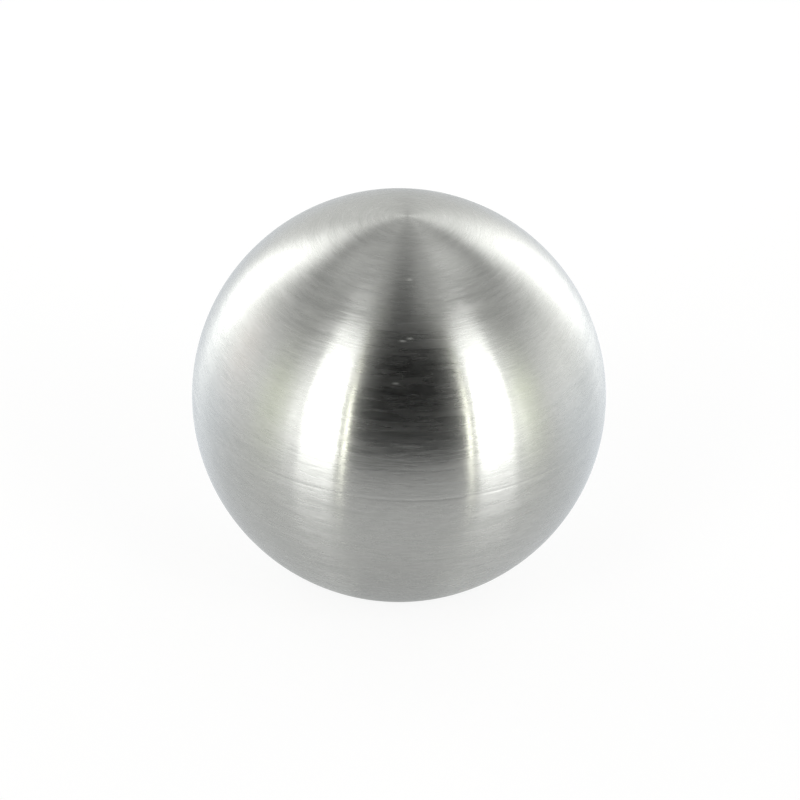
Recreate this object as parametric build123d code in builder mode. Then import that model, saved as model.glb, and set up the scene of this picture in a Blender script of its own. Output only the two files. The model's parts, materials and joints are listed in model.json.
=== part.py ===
from build123d import *
import math
import os

# Steel ball end cap: one turned ball with a blind bore that fits over the end of a round bar.
# Sizes are in millimetres. The origin is the centre of the bore's mouth, on the flat ring
# that the ball stands on, and +Z runs up the bore's axis to the crown of the ball.

# Driving dimensions
ball_diameter = 25.0
bar_diameter = 12.0        # the bar that the cap closes
bar_clearance = 0.1        # gap all round between the bar and the wall of the bore
bore_depth = 12.0          # full-width depth of the bore, from the flat ring
drill_point_angle = 118.0  # angle of the cone that the drill left at the bore's end
mouth_chamfer = 0.5        # lead-in at the bore's mouth, at 45 degrees
mouth_land = 0.65          # width of the flat ring, from the lead-in to the ball
edge_round = 0.2           # broken edge where the ball meets the flat ring

# Worked out from them
ball_radius = ball_diameter / 2
bore_radius = bar_diameter / 2 + bar_clearance
flat_radius = bore_radius + mouth_chamfer + mouth_land
centre_height = math.sqrt(ball_radius**2 - flat_radius**2)
drill_point_height = bore_radius / math.tan(math.radians(drill_point_angle / 2))

with BuildPart() as ball_end_cap:
    # The ball, faced off flat where it stands
    with Locations((0, 0, centre_height)):
        Sphere(ball_radius)
    split(bisect_by=Plane.XY, keep=Keep.TOP)
    faced_edge = ball_end_cap.faces().sort_by(Axis.Z)[0].edges()
    fillet(faced_edge, edge_round)

    # The bore: a straight wall for the bar, ending in the drill's cone
    with BuildSketch(Plane.XZ):
        with BuildLine():
            Polyline(
                (0, 0),
                (bore_radius, 0),
                (bore_radius, bore_depth),
                (0, bore_depth + drill_point_height),
                close=True,
            )
        make_face()
    revolve(axis=Axis.Z, mode=Mode.SUBTRACT)

    # The lead-in, on the edge where the bore breaks through the flat ring
    mouth_edge = (
        ball_end_cap.edges()
        .filter_by(GeomType.CIRCLE)
        .group_by(Axis.Z)[0]
        .sort_by(SortBy.RADIUS)[0]
    )
    chamfer(mouth_edge, mouth_chamfer)

ball_end_cap.part.label = "ball_end_cap"

os.makedirs("parts", exist_ok=True)
export_step(ball_end_cap.part, "parts/ball_end_cap.step")
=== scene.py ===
import bpy
import json
import math
from mathutils import Matrix, Vector


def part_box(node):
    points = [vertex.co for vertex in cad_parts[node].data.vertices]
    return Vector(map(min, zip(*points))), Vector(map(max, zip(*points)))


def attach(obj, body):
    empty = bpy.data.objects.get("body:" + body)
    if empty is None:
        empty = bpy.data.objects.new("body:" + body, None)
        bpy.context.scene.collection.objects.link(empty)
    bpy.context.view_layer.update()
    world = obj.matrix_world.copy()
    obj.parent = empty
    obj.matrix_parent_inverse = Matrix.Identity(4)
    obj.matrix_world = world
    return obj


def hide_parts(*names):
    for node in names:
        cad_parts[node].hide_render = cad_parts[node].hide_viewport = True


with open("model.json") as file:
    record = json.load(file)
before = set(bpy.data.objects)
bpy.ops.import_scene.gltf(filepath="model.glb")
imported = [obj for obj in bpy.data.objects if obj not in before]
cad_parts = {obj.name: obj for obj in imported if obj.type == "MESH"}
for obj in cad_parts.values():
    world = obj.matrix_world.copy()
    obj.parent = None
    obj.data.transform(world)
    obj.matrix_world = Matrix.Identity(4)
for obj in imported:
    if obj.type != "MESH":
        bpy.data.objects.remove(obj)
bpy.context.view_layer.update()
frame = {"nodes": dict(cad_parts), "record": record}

# Steel ball end cap. Everything is in metres, in the row's own frame: the origin is the centre
# of the bore's mouth on the flat ring that the ball stands on, and +Z runs up to the crown.
# Bearings, longitudes, latitudes and elevations are in degrees. A bearing of 0 is towards the
# camera, on the side of -Y, and bearings grow towards +X.


# Sizes of the turned part, read from the frame

MM = 0.001
MICRON = 1e-6
SAME_PLACE = 0.002 * MM  # two points closer than this are one


def turned_sizes(node_name):
    """The sizes of the turned section, as the frame's own node has them."""
    points = [v.co for v in frame["nodes"][node_name].data.vertices]
    section = [(math.hypot(p.x, p.y), p.z) for p in points]
    low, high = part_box(node_name)
    radius = (high.x - low.x) / 2
    floor_radii = [r for r, z in section if z - low.z < SAME_PLACE]
    bore = next(m for m in frame["record"]["mounts"] if m["kind"] == "bore")
    bore_radius = bore["dims"]["r_mm"] * MM
    wall = [z for r, z in section if abs(r - bore_radius) < SAME_PLACE]
    tip = min(z for r, z in section if r < SAME_PLACE)
    return {
        "Ball radius": radius,
        "Centre height": high.z - radius,
        "Flat radius": max(floor_radii),
        "Mouth radius": min(floor_radii),
        "Bore radius": bore_radius,
        "Lead-in height": min(wall),
        "Bore depth": max(wall),
        "Drill tip height": tip,
    }


def direction(bearing, elevation):
    """The unit vector that points that way."""
    round_z, up = math.radians(bearing), math.radians(elevation)
    return math.sin(round_z) * math.cos(up), -math.cos(round_z) * math.cos(up), math.sin(up)


SIZES = turned_sizes("ball_end_cap")
BALL_RADIUS = SIZES["Ball radius"]
BALL_CENTRE = Vector((0, 0, SIZES["Centre height"]))


# Node trees, written as Python expressions

class Wire:
    """An output socket that adds Math nodes when it is used in an expression."""

    def __init__(self, sheet, socket):
        self.sheet = sheet
        self.socket = socket

    def __add__(self, other):
        return self.sheet.maths("ADD", self, other)

    def __sub__(self, other):
        return self.sheet.maths("SUBTRACT", self, other)

    def __rsub__(self, other):
        return self.sheet.maths("SUBTRACT", other, self)

    def __mul__(self, other):
        return self.sheet.maths("MULTIPLY", self, other)

    def __truediv__(self, other):
        return self.sheet.maths("DIVIDE", self, other)

    def __pow__(self, other):
        return self.sheet.maths("POWER", self, other)

    __radd__ = __add__
    __rmul__ = __mul__


class Sheet:
    """A node tree that is being written."""

    def __init__(self, tree):
        self.tree = tree
        tree.nodes.clear()

    def node(self, kind, settings=None, inputs=None, output=0):
        """Adds a node: its settings first, then the values or wires of its sockets."""
        made = self.tree.nodes.new(kind)
        for name, value in (settings or {}).items():
            setattr(made, name, value)
        for name, value in (inputs or {}).items():
            self.feed(made.inputs[name], value)
        if output is None or not made.outputs:
            return made
        return Wire(self, made.outputs[output])

    def feed(self, socket, value):
        if isinstance(value, Wire):
            self.tree.links.new(value.socket, socket)
        else:
            socket.default_value = value

    def wires(self, made, *names):
        """The named outputs of a node that was asked for whole."""
        return [Wire(self, made.outputs[name]) for name in names]

    def maths(self, operation, *values):
        return self.node("ShaderNodeMath", {"operation": operation}, dict(enumerate(values)))

    def split(self, vector, *names):
        """The named parts of a vector: X, Y and Z, or some of them."""
        parts = self.node("ShaderNodeSeparateXYZ", inputs={0: vector}, output=None)
        return self.wires(parts, *names)


def window(value, low, high):
    """0 where value is at low and 1 where it is at high, with a soft start and end."""
    return value.sheet.node(
        "ShaderNodeMapRange",
        {"interpolation_type": "SMOOTHSTEP"},
        {"Value": value, "From Min": low, "From Max": high, "To Min": 0.0, "To Max": 1.0},
    )


def blend(sheet, share, first, second):
    """A colour between first, where share is 0, and second, where it is 1."""
    return sheet.node(
        "ShaderNodeMix",
        {"data_type": "RGBA"},
        {0: share, 6: first, 7: second},
        output=2,
    )


# The lathe: each stretch of the section is a curve that is swung round the axis

AROUND = 256        # faces round the axis
EDGE_ROWS = 6       # rows of faces on the broken edge
BALL_ROWS = 160     # rows of faces on the ball, from the broken edge up to the crown
UV_MAP = "OFBake"   # U runs round the axis, V runs along the section
BORED = "bored"     # marks the faces that the drill and the lathe left inside
SHARP_EDGE = math.radians(25)
QUARTER_TURN = math.pi / 2


def turned_face_group():
    """A node group that swings one stretch of the section round the axis."""
    tree = bpy.data.node_groups.new("turned face", "GeometryNodeTree")
    face = tree.interface
    face.new_socket("Section", in_out="INPUT", socket_type="NodeSocketGeometry")
    face.new_socket("Rows", in_out="INPUT", socket_type="NodeSocketInt")
    face.new_socket("Around", in_out="INPUT", socket_type="NodeSocketInt")
    face.new_socket("Map start", in_out="INPUT", socket_type="NodeSocketFloat")
    face.new_socket("Map end", in_out="INPUT", socket_type="NodeSocketFloat")
    face.new_socket("Bored", in_out="INPUT", socket_type="NodeSocketBool")
    face.new_socket("Surface", in_out="OUTPUT", socket_type="NodeSocketGeometry")
    sheet = Sheet(tree)
    given = sheet.node("NodeGroupInput", output=None)
    section, rows, around = sheet.wires(given, "Section", "Rows", "Around")
    start, end, bored = sheet.wires(given, "Map start", "Map end", "Bored")
    grid = sheet.node(
        "GeometryNodeMeshGrid",
        inputs={"Size X": 1.0, "Size Y": 1.0, "Vertices X": around + 1, "Vertices Y": rows + 1},
        output="Mesh",
    )
    place = sheet.node("GeometryNodeInputPosition")
    across, along = (share + 0.5 for share in sheet.split(place, "X", "Y"))
    on_map = sheet.node("ShaderNodeCombineXYZ", inputs={"X": across, "Y": start + along * (end - start)})
    mesh = sheet.node(
        "GeometryNodeStoreNamedAttribute",
        {"data_type": "FLOAT2", "domain": "CORNER"},
        {"Geometry": grid, "Name": UV_MAP, "Value": on_map},
    )
    mesh = sheet.node(
        "GeometryNodeStoreNamedAttribute",
        {"data_type": "BOOLEAN", "domain": "FACE"},
        {"Geometry": mesh, "Name": BORED, "Value": bored},
    )
    sampled = sheet.node(
        "GeometryNodeSampleCurve",
        {"mode": "FACTOR", "use_all_curves": True},
        {"Curves": section, "Factor": along},
        output="Position",
    )
    radius, height = sheet.split(sampled, "X", "Y")
    angle = across * math.tau
    swung = sheet.node(
        "ShaderNodeCombineXYZ",
        inputs={
            "X": radius * sheet.maths("SINE", angle),
            "Y": radius * sheet.maths("COSINE", angle) * -1.0,
            "Z": height,
        },
    )
    mesh = sheet.node("GeometryNodeSetPosition", inputs={"Geometry": mesh, "Position": swung})
    sheet.node("NodeGroupOutput", inputs={"Surface": mesh})
    return tree


def lathe_tree():
    """The whole turned form. Its section runs from the drill's tip, down the bore and out
    over the flat ring to the crown, so that every face points out of the steel."""
    tree = bpy.data.node_groups.new("turned ball", "GeometryNodeTree")
    face = tree.interface
    face.new_socket("Around", in_out="INPUT", socket_type="NodeSocketInt")
    for name in SIZES:
        face.new_socket(name, in_out="INPUT", socket_type="NodeSocketFloat")
    face.new_socket("Brushed steel", in_out="INPUT", socket_type="NodeSocketMaterial")
    face.new_socket("Bored steel", in_out="INPUT", socket_type="NodeSocketMaterial")
    face.new_socket("Cap", in_out="OUTPUT", socket_type="NodeSocketGeometry")
    sheet = Sheet(tree)
    given = sheet.node("NodeGroupInput", output=None)
    around, brushed, bored = sheet.wires(given, "Around", "Brushed steel", "Bored steel")
    ball, centre, flat, mouth = sheet.wires(
        given, "Ball radius", "Centre height", "Flat radius", "Mouth radius"
    )
    bore, lead_in, depth, tip = sheet.wires(
        given, "Bore radius", "Lead-in height", "Bore depth", "Drill tip height"
    )
    # The broken edge is an arc that meets the flat ring and the ball without a corner
    edge = (ball ** 2.0 - centre ** 2.0 - flat ** 2.0) / (2.0 * (ball - centre))
    meeting = sheet.maths("ARCTAN2", centre - edge, flat) * -1.0

    def point(radius, height):
        return sheet.node("ShaderNodeCombineXYZ", inputs={"X": radius, "Y": height})

    def line(start, end):
        return sheet.node(
            "GeometryNodeCurvePrimitiveLine",
            {"mode": "POINTS"},
            {"Start": point(*start), "End": point(*end)},
        )

    def arc(middle, radius, start, end, rows):
        made = sheet.node(
            "GeometryNodeCurveArc",
            {"mode": "RADIUS"},
            {"Resolution": rows + 1, "Radius": radius, "Start Angle": start, "Sweep Angle": end - start},
        )
        return sheet.node("GeometryNodeTransform", inputs={"Geometry": made, "Translation": point(*middle)})

    # Each stretch, its rows of faces, its share of the UV map's height, and whether it is bored
    stretches = [
        (line((0.0, tip), (bore, depth)), 12, 0.12, True),
        (line((bore, depth), (bore, lead_in)), 24, 0.22, True),
        (line((bore, lead_in), (mouth, 0.0)), 3, 0.03, True),
        (line((mouth, 0.0), (flat, 0.0)), 3, 0.03, True),
        (arc((flat, edge), edge, -QUARTER_TURN, meeting, EDGE_ROWS), EDGE_ROWS, 0.01, False),
        (arc((0.0, centre), ball, meeting, QUARTER_TURN, BALL_ROWS), BALL_ROWS, 0.59, False),
    ]
    turned_face = turned_face_group()
    joined = sheet.node("GeometryNodeJoinGeometry", output=None)
    map_start = 0.0
    for section, rows, share, is_bored in stretches:
        surface = sheet.node(
            "GeometryNodeGroup",
            {"node_tree": turned_face},
            {
                "Section": section,
                "Rows": rows,
                "Around": around,
                "Map start": map_start,
                "Map end": map_start + share,
                "Bored": is_bored,
            },
        )
        tree.links.new(surface.socket, joined.inputs[0])
        map_start += share
    mesh = Wire(sheet, joined.outputs[0])
    mesh = sheet.node("GeometryNodeMergeByDistance", inputs={"Geometry": mesh, "Distance": MICRON / 2})
    mesh = sheet.node(
        "GeometryNodeSetShadeSmooth", {"domain": "FACE"}, {"Geometry": mesh, "Shade Smooth": True}
    )
    turn = sheet.node("GeometryNodeInputMeshEdgeAngle", output="Unsigned Angle")
    mesh = sheet.node(
        "GeometryNodeSetShadeSmooth",
        {"domain": "EDGE"},
        {
            "Geometry": mesh,
            "Selection": sheet.node("FunctionNodeCompare", inputs={"A": turn, "B": SHARP_EDGE}),
            "Shade Smooth": False,
        },
    )
    mesh = sheet.node("GeometryNodeRealizeInstances", inputs={"Geometry": mesh})
    mesh = sheet.node("GeometryNodeSetMaterial", inputs={"Geometry": mesh, "Material": brushed})
    marked = sheet.node("GeometryNodeInputNamedAttribute", {"data_type": "BOOLEAN"}, {"Name": BORED})
    mesh = sheet.node(
        "GeometryNodeSetMaterial", inputs={"Geometry": mesh, "Selection": marked, "Material": bored}
    )
    sheet.node("NodeGroupOutput", inputs={"Cap": mesh})
    return tree


def turned_cap(brushed, bored):
    """The cap as a plain mesh, with its place in its vertices."""
    tree = lathe_tree()
    inputs = {"Around": AROUND, **SIZES, "Brushed steel": brushed, "Bored steel": bored}
    blank = bpy.data.objects.new("blank", bpy.data.meshes.new("blank"))
    bpy.context.scene.collection.objects.link(blank)
    lathe = blank.modifiers.new("lathe", "NODES")
    lathe.node_group = tree
    for item in tree.interface.items_tree:
        if item.name in inputs:
            lathe[item.identifier] = inputs[item.name]
    turned = blank.evaluated_get(bpy.context.evaluated_depsgraph_get())
    mesh = bpy.data.meshes.new_from_object(turned)
    blank.modifiers.remove(lathe)
    bpy.data.objects.remove(blank)
    mesh.name = "turned_cap"
    cap = bpy.data.objects.new("turned_cap", mesh)
    bpy.context.scene.collection.objects.link(cap)
    return cap


# Steel. The marks of the brush and the tool are noise that is drawn out round the axis: reach is
# their length in millimetres, and lines is how many lie side by side in a millimetre.

STROKES = {"reach": 5.0, "lines": 1.5, "detail": 3.0, "seed": 0.0}
FIBRES = {"reach": 0.9, "lines": 5.0, "detail": 2.0, "seed": 7.3}
CLOUD = {"reach": 3.0, "lines": 0.5, "detail": 2.0, "seed": 3.1}
RINGS = {"reach": 12.0, "lines": 5.0, "detail": 2.0, "seed": 1.7}
MARK_ROUGHNESS = 0.75         # how strongly the finer marks show in the coarser ones
ALONG_SECTION = 0.25          # anisotropic rotation that smears the shine along the section

DARK_STEEL = (0.39, 0.40, 0.38, 1.0)
PALE_STEEL = (0.71, 0.715, 0.69, 1.0)
GLOSS = 0.108                 # roughness between the strokes
STROKE_DULLNESS = 0.2         # how much rougher the full strokes are
STROKE_DEPTH = 16.0           # microns
FIBRE_DEPTH = 0.6             # microns
GRIT = (0.4, 0.65)            # from which fibres on the brushing holds dirt, and where it is full
GRIT_DULLNESS = 0.022         # how much less metallic the dirt makes it
NARROW_SMEAR = 1.0            # anisotropy of most of the shine
WIDE_SMEAR = 0.82             # anisotropy of the share that also scatters along the brushing
WIDE_DULLNESS = 0.065         # how much rougher that share is
WIDE_SHARE = 0.3

SCORE_LATITUDE = 4.2          # a deeper turned line, just above the ball's widest place
SCORE_WIDTH = 0.08            # millimetres, from its middle to its side
SCORE_DEPTH = 8.0             # microns
NICK_SIZE = 0.30              # millimetres, from a fleck's middle to its end
NICK_SLIMNESS = 4.0           # how many times longer than high a fleck is
NICK_DULLNESS = 0.35          # how much less metallic it is
NICKS = [
    # longitude and latitude of the small flecks that handling has left
    (0.5, 47.2),
    (3.2, 47.9),
    (37.0, 85.5),
    (3.1, 65.0),
    (-1.3, 35.9),
    (41.5, 43.4),
]

DARK_BORE = (0.44, 0.44, 0.43, 1.0)
PALE_BORE = (0.54, 0.54, 0.53, 1.0)
BORE_GLOSS = 0.30
RING_DULLNESS = 0.08          # how much rougher the full rings are
RING_DEPTH = 6.0              # microns
BORE_SMEAR = 0.6              # anisotropy


def material_sheet(name):
    material = bpy.data.materials.new(name)
    material.use_nodes = True
    return material, Sheet(material.node_tree)


def place_on_part(sheet):
    """Object coordinates in millimetres: x, y, height, and the distance from the axis."""
    coordinates = sheet.node("ShaderNodeTexCoord", output="Object")
    x, y, z = (part / MM for part in sheet.split(coordinates, "X", "Y", "Z"))
    from_axis = (x * x + y * y) ** 0.5
    return x, y, z, from_axis


def marks(sheet, x, y, along, reach, lines, detail, seed):
    """Turned marks, from 0 to 1. Along is the distance along the section."""
    spot = sheet.node(
        "ShaderNodeCombineXYZ",
        inputs={"X": x / reach + seed, "Y": y / reach - seed, "Z": along * lines + seed},
    )
    return sheet.node(
        "ShaderNodeTexNoise",
        {"noise_dimensions": "3D"},
        {"Vector": spot, "Scale": 1.0, "Detail": detail, "Roughness": MARK_ROUGHNESS},
    )


def nick(x, y, height, longitude, latitude):
    """A short fleck on the ball, along the brushing: 1 in its middle and 0 outside it."""
    spot_x, spot_y, spot_z = (part * BALL_RADIUS / MM for part in direction(longitude, latitude))
    across = x - spot_x
    back = y - spot_y
    over = (height - spot_z) * NICK_SLIMNESS
    away = (across * across + back * back + over * over) ** 0.5
    return window(away, NICK_SIZE, 0.0)


def bump(sheet, relief):
    """Normals for a relief in microns."""
    return sheet.node("ShaderNodeBump", inputs={"Strength": 1.0, "Distance": MICRON, "Height": relief})


def brushed_steel():
    """The ball's finish: fine brushing in circles round the axis. Most of the shine is smeared
    across the brushing alone, and a share of it scatters a little along it too."""
    material, sheet = material_sheet("brushed_steel")
    x, y, z, from_axis = place_on_part(sheet)
    ball = BALL_RADIUS / MM
    height = z - BALL_CENTRE.z / MM
    from_crown = sheet.maths("ARCTAN2", from_axis, height) * ball
    strokes = marks(sheet, x, y, from_crown, **STROKES)
    fibres = marks(sheet, x, y, from_crown, **FIBRES)
    cloud = marks(sheet, x, y, from_crown, **CLOUD)
    grit = window(fibres, *GRIT)
    score_place = (QUARTER_TURN - math.radians(SCORE_LATITUDE)) * ball
    off_score = (from_crown - score_place) / SCORE_WIDTH
    score = sheet.maths("EXPONENT", off_score * off_score * -1.0)
    nicks = sum(nick(x, y, height, *place) for place in NICKS)
    relief = strokes * STROKE_DEPTH + fibres * FIBRE_DEPTH - score * SCORE_DEPTH
    wear = strokes * 0.5 + fibres * 0.4 + cloud * 0.1
    gloss = GLOSS + strokes * STROKE_DULLNESS
    metal = {
        "Base Color": blend(sheet, wear, DARK_STEEL, PALE_STEEL),
        "Metallic": 1.0 - grit * GRIT_DULLNESS - nicks * NICK_DULLNESS,
        "Anisotropic Rotation": ALONG_SECTION,
        "Normal": bump(sheet, relief),
    }
    narrow = sheet.node(
        "ShaderNodeBsdfPrincipled",
        inputs={**metal, "Roughness": gloss, "Anisotropic": NARROW_SMEAR},
    )
    wide = sheet.node(
        "ShaderNodeBsdfPrincipled",
        inputs={**metal, "Roughness": gloss + WIDE_DULLNESS, "Anisotropic": WIDE_SMEAR},
    )
    both = sheet.node("ShaderNodeMixShader", inputs={0: WIDE_SHARE, 1: narrow, 2: wide})
    sheet.node("ShaderNodeOutputMaterial", inputs={"Surface": both})
    return material


def bored_steel():
    """The bore, its lead-in and the flat ring: plain turned rings, a little darker."""
    material, sheet = material_sheet("bored_steel")
    x, y, z, from_axis = place_on_part(sheet)
    rings = marks(sheet, x, y, z + from_axis, **RINGS)
    shown = sheet.node(
        "ShaderNodeBsdfPrincipled",
        inputs={
            "Metallic": 1.0,
            "Base Color": blend(sheet, rings, DARK_BORE, PALE_BORE),
            "Roughness": BORE_GLOSS + rings * RING_DULLNESS,
            "Anisotropic": BORE_SMEAR,
            "Anisotropic Rotation": ALONG_SECTION,
            "Normal": bump(sheet, rings * RING_DEPTH),
        },
    )
    sheet.node("ShaderNodeOutputMaterial", inputs={"Surface": shown})
    return material


# Camera

PICTURE = 800                      # pixels each way
BALL_IN_PICTURE = (399.0, 395.1)   # where the ball's centre lies, from the top left corner
VIEW_DISTANCE = 16 * BALL_RADIUS
VIEW_ELEVATION = math.radians(32.95)
VIEW_ROLL = math.radians(2.71)
SENSOR = 36.0                      # millimetres
LENS = 148.75                      # millimetres
NEAREST_SEEN = 0.01
FARTHEST_SEEN = 20.0


def add_camera():
    data = bpy.data.cameras.new("camera")
    data.sensor_width = SENSOR
    data.lens = LENS
    data.clip_start = NEAREST_SEEN
    data.clip_end = FARTHEST_SEEN
    camera = bpy.data.objects.new("camera", data)
    back = Vector((0, -math.cos(VIEW_ELEVATION), math.sin(VIEW_ELEVATION)))
    right = Vector((1, 0, 0))
    level = Matrix((right, back.cross(right), back)).transposed()
    focal = LENS / SENSOR * PICTURE
    across = (BALL_IN_PICTURE[0] - PICTURE / 2) / focal
    up = (PICTURE / 2 - BALL_IN_PICTURE[1]) / focal
    aim = Vector((across, up, -1)).rotation_difference(Vector((0, 0, -1))).to_matrix()
    turn = level @ Matrix.Rotation(VIEW_ROLL, 3, "Z") @ aim
    camera.matrix_world = Matrix.Translation(BALL_CENTRE + back * VIEW_DISTANCE) @ turn.to_4x4()
    bpy.context.scene.collection.objects.link(camera)
    bpy.context.scene.camera = camera


# Studio: a white tent, with a dark opening at the camera, two bright panels in front and two
# behind. It is the world, so that it lights the part from every side without lamps. Widths and
# softnesses are in degrees, and a pair of elevations is where something starts and where it is full.

DEGREES = math.degrees(1)
WHITE = (1.0, 1.0, 1.0, 1.0)
BLACK = (0.0, 0.0, 0.0, 1.0)
BACKDROP = 0.88           # what the camera sees behind everything, where 1 is white

WALL_LIGHT = 1.95
WALL_BANDS = [
    # bearing, half width, softness, and how much brighter the wall is there
    (95.0, 32.0, 16.0, -0.85),
    (-85.0, 32.0, 16.0, -0.80),
    (185.0, 30.0, 20.0, -1.10),
    (110.0, 8.0, 12.0, 0.18),
    (-110.0, 8.0, 12.0, 0.15),
]
CEILING = (4.0, 47.0)     # elevations between which the walls give way to the ceiling
CEILING_LIGHT = 0.43
TOP = (43.0, 93.0)        # elevations between which the ceiling gets brighter
TOP_LIGHT = 0.15          # and by how much

LEAN = 0.07               # how much the tent's front leans outwards with each degree of elevation
FRONT_PANELS = [
    # side, bearing at the floor, half width, top, how softly it ends there, brightness
    (-1, -40.5, 9.5, 57.0, 9.0, 1.5),
    (1, 53.5, 9.5, 55.0, 12.0, 1.6),
]
PANEL_SOFT = 1.2
HALO = (25.0, 8.0)        # half width and softness of the light round a front panel
HALO_LIGHT = 0.36
STRIP = (2.0, 1.0)        # half width and softness of a thin strip beyond each front panel
STRIP_PAST = 9.0          # how far past the panel's side it hangs
STRIP_LIGHT = 0.25

OPENING = 6.0             # bearing of the opening's middle
OPENING_HALF = 32.0       # half its width at the floor
OPENING_SOFT = 1.2
OPENING_TOP = (91.0, 58.0)
OPENING_LIGHT = 0.35      # how bright the room behind it is at the opening's sides
OPENING_FALL = 5.5        # how fast it gets dark towards the middle
LINE_SOFT = 0.4           # how softly the thin lines end
GAP = (3.4, 1.1)          # a grey gap past each side of the opening: its middle and half width
GAP_DARK = 0.8
POLE = (0.8, 0.9)         # a bright pole at each side of the opening: its middle and half width
POLE_LIGHT = 2.4
POLE_TOP = (40.0, 15.0)   # where it ends, and how softly
SEAM = (0.12, 0.03)       # a darker seam in the ceiling: the direction's X, at its side and where full
SEAM_HEIGHT = (40.0, 85.0)
SEAM_DARK = 0.3
VENT = (-60.0, 89.0, 16.0)   # bearing, elevation and spread of a dark vent at the top
VENT_DARK = 0.75

REAR_PANELS = [
    # bearing, half width, softness, top, how softly it ends there, brightness
    (-137.0, 6.0, 13.0, 42.0, 8.0, 1.8),
    (148.0, 6.0, 15.0, 38.0, 7.0, 1.5),
]
GLOWS = [
    # bearing, elevation, spread and brightness of the soft light round the rear panels
    (147.0, 57.0, 16.0, 0.60),
    (-136.0, 58.0, 12.0, 0.45),
    (169.0, 26.0, 18.0, 0.50),
    (-168.0, 27.0, 18.0, 0.25),
    (-152.0, 32.0, 14.0, 0.50),
]

PLAIN_TINT = (1.0, 1.0, 0.99, 1.0)
GREEN_TINT = (0.98, 1.02, 0.84, 1.0)
PINK_TINT = (1.03, 0.98, 0.96, 1.0)
WARM_TINT = (1.0, 1.0, 0.88, 1.0)
GREEN_SPOTS = [(-73.0, 11.0, 18.0), (78.0, 12.0, 18.0)]   # bearing, elevation and spread
PINK_SPOT = (-104.0, 6.0, 20.0)
WARM_LINE = (2.0, 3.0)    # past each side of the opening: its middle and half width


class Tent:
    """Soft shapes on the inside of the tent, each from 0 to 1."""

    def __init__(self, sheet):
        self.sheet = sheet
        self.way = sheet.node("ShaderNodeTexCoord", output="Generated")
        x, y, z = sheet.split(self.way, "X", "Y", "Z")
        self.across = sheet.maths("ABSOLUTE", x)
        self.bearing = sheet.maths("ARCTAN2", x, y * -1.0) * DEGREES
        self.elevation = sheet.maths("ARCSINE", z) * DEGREES
        self.lean = LEAN * self.elevation
        self.opening_half = OPENING_HALF + self.lean
        self.past_opening = self.off(OPENING) - self.opening_half

    def off(self, middle):
        """How many degrees a bearing lies from middle, either way round."""
        turned = self.sheet.maths("WRAP", self.bearing - middle, 180.0, -180.0)
        return self.sheet.maths("ABSOLUTE", turned)

    def band(self, middle, half_width, soft):
        """An upright band whose edges fade over soft degrees to each side of half_width."""
        past = self.off(middle) - half_width
        return window(past, soft, -soft)

    def line(self, middle, half_width):
        """A thin line along each side of the opening, middle degrees past it."""
        away = self.sheet.maths("ABSOLUTE", self.past_opening - middle)
        return window(away, half_width + LINE_SOFT, half_width - LINE_SOFT)

    def under(self, top, soft):
        """Everything below top."""
        return window(self.elevation, top + soft, top - soft)

    def spot(self, bearing, elevation, spread):
        """A round spot that fades from its middle to its spread."""
        near = self.sheet.node(
            "ShaderNodeVectorMath",
            {"operation": "DOT_PRODUCT"},
            {0: self.way, 1: direction(bearing, elevation)},
            output="Value",
        )
        away = self.sheet.maths("ARCCOSINE", near) * DEGREES
        return window(away, spread, 0.0)


def walls_and_ceiling(tent):
    walls = WALL_LIGHT
    for bearing, half_width, soft, brighter in WALL_BANDS:
        walls = walls + brighter * tent.band(bearing, half_width, soft)
    high = window(tent.elevation, *CEILING)
    ceiling = CEILING_LIGHT + TOP_LIGHT * window(tent.elevation, *TOP)
    return walls * (1.0 - high) + ceiling * high


def front_panels(tent):
    """The two panels lean outwards. A halo lies round each, and a thin strip hangs beyond it."""
    light = 0.0
    for side, bearing, half_width, top, end, brightness in FRONT_PANELS:
        middle = bearing + 2.0 * side * tent.lean
        panel = brightness * tent.band(middle, half_width + tent.lean, PANEL_SOFT)
        halo = HALO_LIGHT * tent.band(middle, *HALO)
        strip = STRIP_LIGHT * tent.band(bearing + side * (half_width + STRIP_PAST), *STRIP)
        light = light + (panel + halo + strip) * tent.under(top, end)
    return light


def cut_opening(tent, level):
    """The opening gets darker from its sides to its middle. A bright pole stands at each side,
    and a grey gap parts it from the panel beside it."""
    level = level * (1.0 - GAP_DARK * tent.line(*GAP))
    opening = window(tent.past_opening, OPENING_SOFT, -OPENING_SOFT)
    opening = opening * window(tent.elevation, *OPENING_TOP)
    outward = tent.sheet.maths("MINIMUM", tent.off(OPENING) / tent.opening_half, 1.0)
    level = level * (1.0 - opening) + OPENING_LIGHT * outward ** OPENING_FALL * opening
    level = level + POLE_LIGHT * tent.line(*POLE) * tent.under(*POLE_TOP)
    seam = window(tent.across, *SEAM) * window(tent.elevation, *SEAM_HEIGHT)
    return level * (1.0 - SEAM_DARK * seam)


def tent_level(tent):
    """How bright the tent is in each direction."""
    level = cut_opening(tent, walls_and_ceiling(tent) + front_panels(tent))
    for bearing, half_width, soft, top, end, brightness in REAR_PANELS:
        level = level + brightness * tent.band(bearing, half_width, soft) * tent.under(top, end)
    level = level * (1.0 - VENT_DARK * tent.spot(*VENT))
    for bearing, elevation, spread, brightness in GLOWS:
        level = level + brightness * tent.spot(bearing, elevation, spread)
    return level


def tent_colour(tent):
    """The tent is nearly white, with a green, a pink and a warm tint in places."""
    green = sum(tent.spot(*spot) for spot in GREEN_SPOTS)
    colour = blend(tent.sheet, green, PLAIN_TINT, GREEN_TINT)
    colour = blend(tent.sheet, tent.spot(*PINK_SPOT), colour, PINK_TINT)
    return blend(tent.sheet, tent.line(*WARM_LINE), colour, WARM_TINT)


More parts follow.
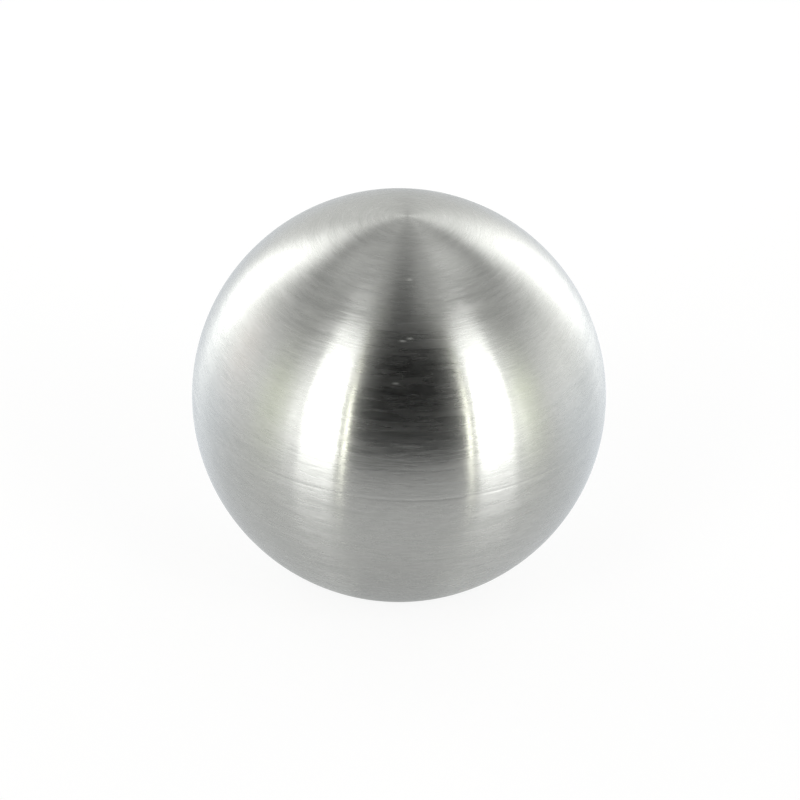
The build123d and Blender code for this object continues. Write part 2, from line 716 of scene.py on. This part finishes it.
def add_tent():
    """The world lights the part as the inside of the tent, and the camera sees a plain, pale
    backdrop."""
    world = bpy.data.worlds.new("tent")
    world.use_nodes = True
    bpy.context.scene.world = world
    sheet = Sheet(world.node_tree)
    tent = Tent(sheet)
    inside = sheet.node(
        "ShaderNodeBackground", inputs={"Color": tent_colour(tent), "Strength": tent_level(tent)}
    )
    plain = sheet.node("ShaderNodeBackground", inputs={"Color": WHITE, "Strength": BACKDROP})
    is_camera = sheet.node("ShaderNodeLightPath", output="Is Camera Ray")
    seen = sheet.node("ShaderNodeMixShader", inputs={0: is_camera, 1: inside, 2: plain})
    sheet.node("ShaderNodeOutputWorld", inputs={"Surface": seen})


# Table. A pair of distances is where something starts and where it is full.

TABLE_HALF = 1.5                  # metres, from its middle to its sides
PAINT = (0.25, 0.25, 0.25, 1.0)
VARNISH_ROUGHNESS = 0.12
VARNISH_IOR = 1.8
FRONT_PAINTED_GLOW = 0.54                 # painted light: how brightly the table glows in the metal, beside its paint
REAR_PAINTED_GLOW = 0.22                  # painted light: how much brighter the glow is behind the part
REAR = (-14 * MM, 10 * MM)        # along Y
UNDER_PAINTED_SHADOW = 0.10                 # painted shadow: how much darker the glow is under the part's front
UNDER = (24 * MM, 6 * MM)         # from the axis: where the painted shadow starts and where it is full
SIDE_PAINTED_GLOW = 0.05                  # painted light: how much brighter the glow is close to the part's left and right
SIDE_START = (1 * MM, 10 * MM)    # along X, either way
SIDE_END = (22 * MM, 14 * MM)     # from the axis
# colours of the painted glow, in front of the part and behind it
FRONT_TINT = (1.0, 1.0, 1.01, 1.0)
REAR_TINT = (0.94, 1.0, 1.10, 1.0)
SHADOW_PAINT = (0.18, 0.18, 0.18, 1.0)   # the part of what the camera sees that the shadow darkens
SHADOW_LIGHT = 0.14               # how bright that paint is outside the shadow
FAR = (78 * MM, 118 * MM)         # from the axis: from here on it is as pale as the backdrop


def table_in_metal(sheet, x, y, distance):
    """The table as the metal shows it: pale paint under varnish, lit by the tent, with a painted glow:
    painted light that is brighter behind the part and at its sides, and a painted shadow under its front.
    """
    rear = window(y, *REAR)
    # where the painted shadow lies under the part
    under = window(distance, *UNDER)
    sides = window(sheet.maths("ABSOLUTE", x), *SIDE_START) * window(distance, *SIDE_END)
    # painted light and painted shadow: an even glow, brighter behind the part and at its sides, darker
    # under its front
    painted_glow = FRONT_PAINTED_GLOW + rear * REAR_PAINTED_GLOW - under * (1.0 - rear) * UNDER_PAINTED_SHADOW + sides * SIDE_PAINTED_GLOW
    tint = blend(sheet, rear, FRONT_TINT, REAR_TINT)
    paint = sheet.node("ShaderNodeBsdfDiffuse", inputs={"Color": PAINT})
    glow_shader = sheet.node("ShaderNodeEmission", inputs={"Color": blend(sheet, painted_glow, BLACK, tint)})
    painted = sheet.node("ShaderNodeAddShader", inputs={0: paint, 1: glow_shader})
    varnish = sheet.node("ShaderNodeBsdfGlossy", inputs={"Color": WHITE, "Roughness": VARNISH_ROUGHNESS})
    graze = sheet.node("ShaderNodeFresnel", inputs={"IOR": VARNISH_IOR})
    return sheet.node("ShaderNodeMixShader", inputs={0: graze, 1: painted, 2: varnish})


def table_in_picture(sheet, distance):
    """The table as the camera sees it: white round the part, with a faint shadow, and as pale
    as the backdrop farther off."""
    white = 1.0 - SHADOW_LIGHT - (1.0 - BACKDROP) * window(distance, *FAR)
    paint = sheet.node("ShaderNodeBsdfDiffuse", inputs={"Color": SHADOW_PAINT})
    glow_shader = sheet.node("ShaderNodeEmission", inputs={"Color": blend(sheet, white, BLACK, WHITE)})
    return sheet.node("ShaderNodeAddShader", inputs={0: paint, 1: glow_shader})


def table_top():
    """A pale, glossy table top. From below it is clear, so that the bore can be seen."""
    material, sheet = material_sheet("table_top")
    coordinates = sheet.node("ShaderNodeTexCoord", output="Object")
    x, y = sheet.split(coordinates, "X", "Y")
    distance = (x * x + y * y) ** 0.5
    in_metal = table_in_metal(sheet, x, y, distance)
    in_picture = table_in_picture(sheet, distance)
    is_camera = sheet.node("ShaderNodeLightPath", output="Is Camera Ray")
    top = sheet.node("ShaderNodeMixShader", inputs={0: is_camera, 1: in_metal, 2: in_picture})
    from_below = sheet.node("ShaderNodeNewGeometry", output="Backfacing")
    clear = sheet.node("ShaderNodeBsdfTransparent")
    both = sheet.node("ShaderNodeMixShader", inputs={0: from_below, 1: top, 2: clear})
    sheet.node("ShaderNodeOutputMaterial", inputs={"Surface": both})
    # The table's glow is too even to be worth a light ray of its own
    material.cycles.emission_sampling = "NONE"
    return material


def add_table():
    mesh = bpy.data.meshes.new("table")
    corners = [(-1, -1), (1, -1), (1, 1), (-1, 1)]
    mesh.from_pydata([(x * TABLE_HALF, y * TABLE_HALF, 0) for x, y in corners], [], [(0, 1, 2, 3)])
    mesh.materials.append(table_top())
    table = bpy.data.objects.new("table", mesh)
    bpy.context.scene.collection.objects.link(table)


# Making

bpy.context.scene.view_settings.view_transform = "Standard"
add_camera()
add_tent()
add_table()

cap = turned_cap(brushed_steel(), bored_steel())
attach(cap, "root")
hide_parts("ball_end_cap")
